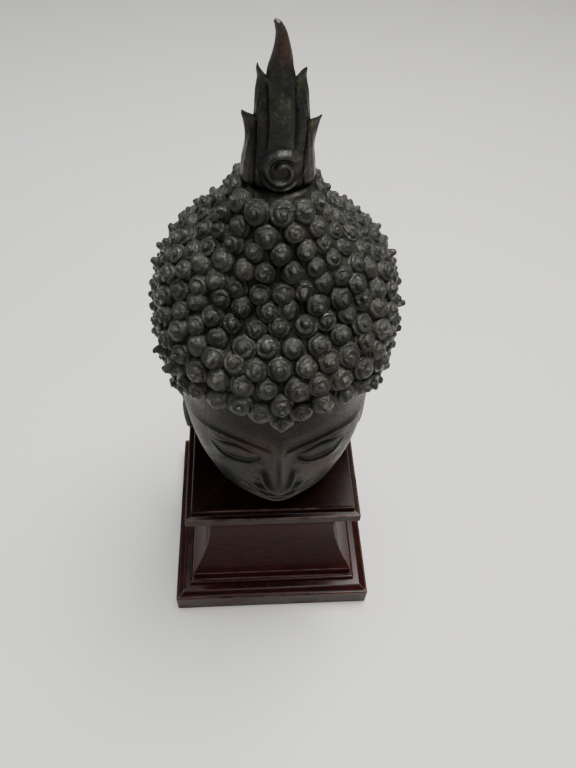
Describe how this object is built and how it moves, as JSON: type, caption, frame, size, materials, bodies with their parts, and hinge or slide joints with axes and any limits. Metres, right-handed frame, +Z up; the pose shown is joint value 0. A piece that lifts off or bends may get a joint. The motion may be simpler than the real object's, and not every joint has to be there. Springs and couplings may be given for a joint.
{
  "type": "bronze buddha head on a wooden stand",
  "caption": "Cast bronze Buddha head with snail-shell curls, long-lobed ears and a flame finial, standing on a square moulded stand of dark lacquered wood.",
  "frame": {"origin": "middle of the stand's underside", "axes": "+Z up, -Y the way the face looks, +X towards the viewer's right"},
  "size_m": [0.18, 0.18, 0.4951],
  "materials": {
    "bronze": "cast bronze with a satin, nearly black brown patina and pale dust in its hollows",
    "flame_bronze": "cast bronze with a satin, nearly black patina, reddish brown where it is rubbed",
    "top_wood": "glossy dark red-brown lacquer",
    "body_wood": "glossy dark red-brown lacquer",
    "base_wood": "glossy dark red-brown lacquer"
  },
  "bodies": {
    "root": {"buddha_head": "bronze", "flame_finial": "flame_bronze", "stand_top": "top_wood", "stand_body": "body_wood", "stand_base": "base_wood"}
  },
  "joints": []
}
